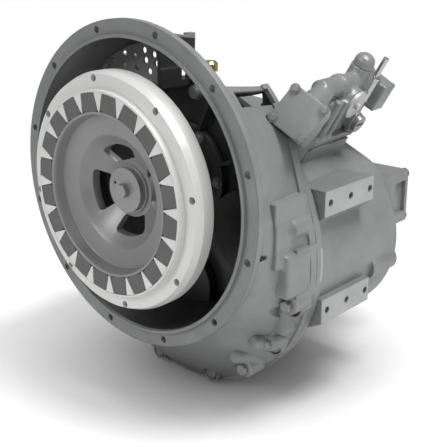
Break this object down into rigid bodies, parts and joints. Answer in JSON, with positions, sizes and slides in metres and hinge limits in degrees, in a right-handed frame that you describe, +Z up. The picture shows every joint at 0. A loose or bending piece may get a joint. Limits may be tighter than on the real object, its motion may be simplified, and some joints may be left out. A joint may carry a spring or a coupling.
{
  "type": "marine gearbox",
  "caption": "Marine reverse-reduction gearbox with round bell housing, rubber-block drive ring, side mounting pads, control valve and output flange.",
  "frame": {"origin": "centre of the bell flange's mounting face, on the input axis", "axes": "+Z up; +Y from the engine towards the propeller, along the input axis; +X towards the side with the control valve"},
  "size_m": [0.4985, 0.543, 0.5905],
  "materials": {
    "housing_paint": "satin grey paint on cast iron",
    "bell_paint": "satin grey paint on an aluminium alloy casting",
    "cast_iron_dark": "as-cast iron, machined faces",
    "gasket": "compressed fibre sheet",
    "screw_steel": "zinc-plated steel",
    "screen_steel": "perforated sheet, painted",
    "seal_rubber": "nitrile rubber",
    "bearing_steel": "ground bearing steel",
    "light_alloy": "machined light alloy",
    "brass_plug": "brass",
    "ring_metal": "machined light metal",
    "block_rubber": "dark grey moulded rubber",
    "shaft_steel": "turned steel",
    "gear_steel": "ground case-hardened steel",
    "plate_steel": "steel and sintered facings"
  },
  "bodies": {
    "casing": {"bearing_carrier": "cast_iron_dark", "bearing_rollers": "bearing_steel", "bell_housing": "bell_paint", "breather": "brass_plug", "carrier_screws": "screw_steel", "case_gasket": "gasket", "case_screws": "screw_steel", "dipstick_tube": "screw_steel", "drain_plug": "brass_plug", "inner_case_screws": "screw_steel", "input_oil_seal": "seal_rubber", "main_case": "housing_paint", "outer_races": "bearing_steel", "output_cover": "housing_paint", "output_cover_screws": "screw_steel", "output_oil_seal": "seal_rubber", "pump_body": "housing_paint", "pump_idler_pin": "bearing_steel", "pump_screws": "screw_steel", "pump_valve_block": "housing_paint", "rear_cover": "housing_paint", "rear_cover_screws": "screw_steel", "strainer_cover": "housing_paint", "strainer_screws": "screw_steel", "valve_body": "housing_paint", "valve_cap": "housing_paint", "valve_plug": "screw_steel", "valve_round_cover": "light_alloy", "valve_screws": "screw_steel", "vent_screen": "screen_steel", "vent_screen_screws": "screw_steel"},
    "input_line": {"input_shaft": "shaft_steel", "input_gear": "gear_steel", "forward_clutch_drum": "shaft_steel", "forward_clutch_plates": "plate_steel", "input_inner_races": "bearing_steel", "drive_ring": "ring_metal", "rubber_blocks": "block_rubber", "drive_hub": "cast_iron_dark", "hub_retainer": "screw_steel", "hub_bolt": "screw_steel"},
    "forward_pinion": {"forward_pinion": "gear_steel"},
    "reverse_line": {"reverse_shaft": "shaft_steel", "reverse_gear": "gear_steel", "reverse_clutch_drum": "shaft_steel", "reverse_clutch_plates": "plate_steel", "reverse_inner_races": "bearing_steel", "pump_drive_gear": "gear_steel"},
    "reverse_pinion": {"reverse_pinion": "gear_steel"},
    "output_line": {"output_shaft": "shaft_steel", "output_gear": "gear_steel", "output_flange": "shaft_steel", "output_nut": "screw_steel", "output_inner_races": "bearing_steel"},
    "pump_idler": {"pump_idler_gear": "gear_steel"},
    "selector": {"selector_spool": "shaft_steel"},
    "dipstick": {"dipstick": "screw_steel"}
  },
  "joints": [
    {"name": "input_spin", "type": "hinge", "parent": "casing", "child": "input_line", "pos_m": [0, 0, 0], "axis": [0, 1, 0], "continuous": true},
    {"name": "forward_pinion_spin", "type": "hinge", "parent": "casing", "child": "forward_pinion", "pos_m": [0, 0.26, 0], "axis": [0, 1, 0], "continuous": true},
    {"name": "reverse_spin", "type": "hinge", "parent": "casing", "child": "reverse_line", "pos_m": [0.13595, 0.2, -0.06338], "axis": [0, 1, 0], "continuous": true},
    {"name": "reverse_pinion_spin", "type": "hinge", "parent": "casing", "child": "reverse_pinion", "pos_m": [0.13595, 0.26, -0.06338], "axis": [0, 1, 0], "continuous": true},
    {"name": "output_spin", "type": "hinge", "parent": "casing", "child": "output_line", "pos_m": [0, 0.26, -0.1775], "axis": [0, 1, 0], "continuous": true},
    {"name": "pump_idler_spin", "type": "hinge", "parent": "casing", "child": "pump_idler", "pos_m": [0.13595, 0.41, -0.09938], "axis": [0, 1, 0], "continuous": true},
    {"name": "selector_turn", "type": "hinge", "parent": "casing", "child": "selector", "pos_m": [0.18966, 0.33952, 0.1334], "axis": [0.4975, 0.0497, 0.866], "range_deg": [-35, 35]},
    {"name": "dipstick_pull", "type": "slide", "parent": "casing", "child": "dipstick", "axis": [0, 0, 1], "range_m": [0, 0.25]}
  ],
  "couplings": [
    {"joint": "forward_pinion_spin", "follows": "input_spin", "ratio": 1},
    {"joint": "reverse_spin", "follows": "input_spin", "ratio": -1},
    {"joint": "reverse_pinion_spin", "follows": "input_spin", "ratio": 1},
    {"joint": "output_spin", "follows": "input_spin", "ratio": -0.47917},
    {"joint": "pump_idler_spin", "follows": "input_spin", "ratio": 1}
  ]
}
